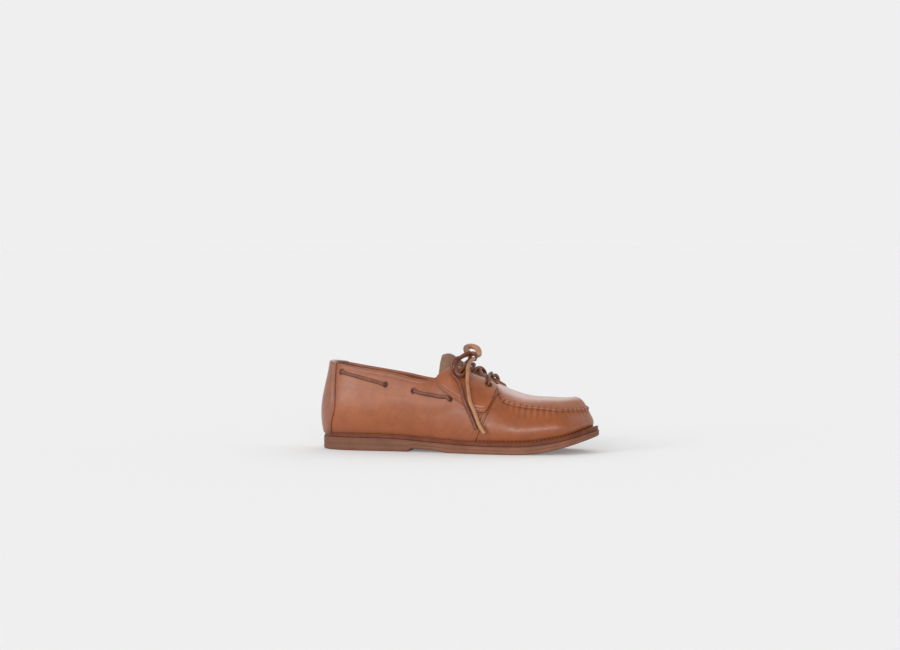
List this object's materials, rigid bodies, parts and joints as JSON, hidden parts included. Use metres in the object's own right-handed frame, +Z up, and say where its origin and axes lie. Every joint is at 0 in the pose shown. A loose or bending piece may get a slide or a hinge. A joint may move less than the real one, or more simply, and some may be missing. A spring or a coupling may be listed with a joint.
{
  "type": "boat shoe",
  "caption": "Low leather shoe with a moccasin toe, a lace run along the collar and tied in a bow over a soft tongue, on a stitched flat rubber sole with a low heel.",
  "frame": {"origin": "middle of the shoe's bounding box at the floor, measured without the lace's bow", "axes": "+X from heel to toe, +Y to the foot's inner side, +Z up from the floor"},
  "size_m": [0.2926, 0.1059, 0.1084],
  "materials": {
    "rubber": "satin mauve-brown rubber",
    "welt": "dark reddish-brown edge",
    "lining": "soft matt greyish-beige leather",
    "leather": "burnished tan leather with a soft sheen",
    "rawhide": "waxed dark rawhide lace",
    "bronze": "darkened brass"
  },
  "bodies": {
    "root": {"outsole": "rubber", "midsole": "welt", "insole": "lining", "upper": "leather", "tongue": "lining", "facing_outer": "leather", "facing_inner": "leather", "back_strap": "leather", "eyelet_outer_upper": "bronze", "eyelet_outer_lower": "bronze", "collar_lace_outer_rear": "rawhide", "collar_lace_outer_front": "rawhide", "eyelet_inner_upper": "bronze", "eyelet_inner_lower": "bronze", "collar_lace_inner_rear": "rawhide", "collar_lace_inner_front": "rawhide", "lace_bar_lower": "rawhide", "lace_bar_upper": "rawhide", "lace_cross": "rawhide", "bow_knot": "rawhide", "bow_loop_upper": "rawhide", "bow_loop_outer": "rawhide", "bow_end_rear": "rawhide", "bow_end_front": "rawhide"}
  },
  "joints": []
}
